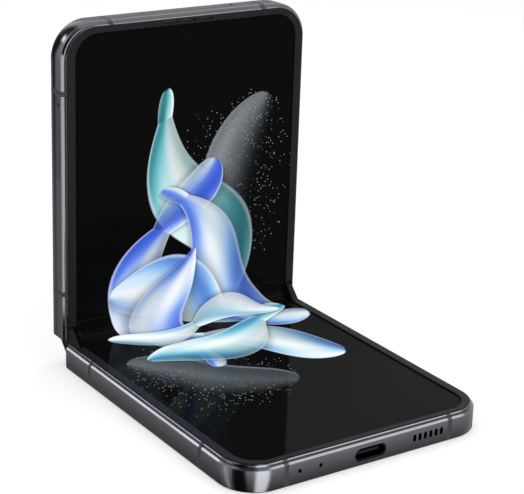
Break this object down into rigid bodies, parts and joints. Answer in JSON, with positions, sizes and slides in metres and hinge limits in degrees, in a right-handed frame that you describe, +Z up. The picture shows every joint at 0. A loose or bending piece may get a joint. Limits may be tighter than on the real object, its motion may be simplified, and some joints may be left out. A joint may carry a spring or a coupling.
{
  "type": "foldable smartphone",
  "caption": "Clamshell smartphone that folds across the middle on a geared two-axis hinge, shown half open, with side keys, card tray, charging socket and rear cameras.",
  "frame": {"origin": "under the middle of the half-open phone, on the surface that the lower half lies on", "axes": "+Z up, along the standing half; -Y towards the charging socket, out of the standing half's screen; +X towards the side with the keys"},
  "size_m": [0.0723, 0.0906, 0.0897],
  "materials": {
    "rim_metal": "polished graphite anodising",
    "key_metal": "polished graphite anodising",
    "spine_metal": "polished graphite anodising",
    "antenna_plastic": "moulded in the rim",
    "back_glass": "frosted, colour behind",
    "window_glass": "polished",
    "bezel_plastic": "fine satin",
    "panel": "polished",
    "hinge_steel": "machined",
    "gear_brass": "machined",
    "cell": "dark foil wrap",
    "board": "soldered board",
    "plated_steel": "nickel plated",
    "sound_plastic": "moulded",
    "mesh_steel": "blackened mesh",
    "microphone_can": "gold plated can",
    "copper": "wound enamelled wire",
    "screw_steel": "plated",
    "camera_black": "glass over black plastic",
    "flash_yellow": "clear over phosphor",
    "switch_steel": "domes on a flexible strip"
  },
  "bodies": {
    "lower_half": {"lower_frame": "rim_metal", "lower_antenna_breaks": "antenna_plastic", "lower_back_glass": "back_glass", "lower_bezel": "bezel_plastic", "lower_display": "panel", "lower_wings": "hinge_steel", "lower_battery": "cell", "lower_board": "board", "usb_socket": "plated_steel", "loudspeaker": "sound_plastic", "speaker_mesh": "mesh_steel", "bottom_microphones": "microphone_can", "vibration_motor": "plated_steel", "charging_coil": "copper", "lower_screws": "screw_steel"},
    "hinge_spine": {"spine_cover": "spine_metal", "spine_end_caps": "bezel_plastic", "hinge_brackets": "hinge_steel", "gear_pins": "hinge_steel", "display_fold": "panel"},
    "lower_pinions": {"lower_pinions": "gear_brass"},
    "upper_pinions": {"upper_pinions": "gear_brass"},
    "lower_idlers": {"lower_idlers": "gear_brass"},
    "upper_idlers": {"upper_idlers": "gear_brass"},
    "upper_half": {"upper_frame": "rim_metal", "upper_antenna_breaks": "antenna_plastic", "upper_back_glass": "back_glass", "back_window": "window_glass", "upper_bezel": "bezel_plastic", "upper_display": "panel", "upper_wings": "hinge_steel", "upper_battery": "cell", "main_board": "board", "board_shield": "plated_steel", "earpiece": "sound_plastic", "front_camera": "camera_black", "rear_camera_modules": "camera_black", "camera_rings": "rim_metal", "camera_lenses": "window_glass", "flash_lamp": "flash_yellow", "cover_display": "panel", "sim_reader": "plated_steel", "top_microphone": "microphone_can", "side_key_switches": "switch_steel", "upper_screws": "screw_steel"},
    "power_key": {"power_key": "key_metal"},
    "volume_key": {"volume_key": "key_metal"},
    "sim_tray": {"sim_tray": "key_metal"}
  },
  "joints": [
    {"name": "lower_fold", "type": "hinge", "parent": "lower_half", "child": "hinge_spine", "pos_m": [0, 0.03488, 0.00615], "axis": [1, 0, 0], "range_deg": [-45, 45.4], "deforming": ["display_fold"]},
    {"name": "upper_fold", "type": "hinge", "parent": "hinge_spine", "child": "upper_half", "pos_m": [0, 0.03827, 0.00954], "axis": [1, 0, 0], "range_deg": [-45, 45.4]},
    {"name": "lower_pinion_turn", "type": "hinge", "parent": "hinge_spine", "child": "lower_pinions", "pos_m": [0, 0.03603, 0.0036], "axis": [1, 0, 0], "range_deg": [-173, 173]},
    {"name": "upper_pinion_turn", "type": "hinge", "parent": "hinge_spine", "child": "upper_pinions", "pos_m": [0, 0.04083, 0.00839], "axis": [1, 0, 0], "range_deg": [-173, 173]},
    {"name": "lower_idler_turn", "type": "hinge", "parent": "hinge_spine", "child": "lower_idlers", "pos_m": [0, 0.03771, 0.00502], "axis": [1, 0, 0], "range_deg": [-144, 144]},
    {"name": "upper_idler_turn", "type": "hinge", "parent": "hinge_spine", "child": "upper_idlers", "pos_m": [0, 0.0394, 0.00672], "axis": [1, 0, 0], "range_deg": [-144, 144]},
    {"name": "power_press", "type": "slide", "parent": "upper_half", "child": "power_key", "axis": [-1, 0, 0], "range_m": [0, 0.00025], "stiffness_N_per_m": 2000},
    {"name": "volume_rock", "type": "hinge", "parent": "upper_half", "child": "volume_key", "pos_m": [0.0335, 0.04112, 0.06014], "axis": [0, 1, 0], "range_deg": [-1.4, 1.4], "stiffness_Nm_per_rad": 0.4},
    {"name": "tray_slide", "type": "slide", "parent": "upper_half", "child": "sim_tray", "axis": [-1, 0, 0], "range_m": [0, 0.0145]}
  ],
  "couplings": [
    {"joint": "upper_fold", "follows": "lower_fold", "ratio": 1},
    {"joint": "lower_pinion_turn", "follows": "lower_fold", "ratio": -3.8},
    {"joint": "upper_pinion_turn", "follows": "lower_fold", "ratio": 3.8},
    {"joint": "lower_idler_turn", "follows": "lower_fold", "ratio": 3.1667},
    {"joint": "upper_idler_turn", "follows": "lower_fold", "ratio": -3.1667}
  ]
}
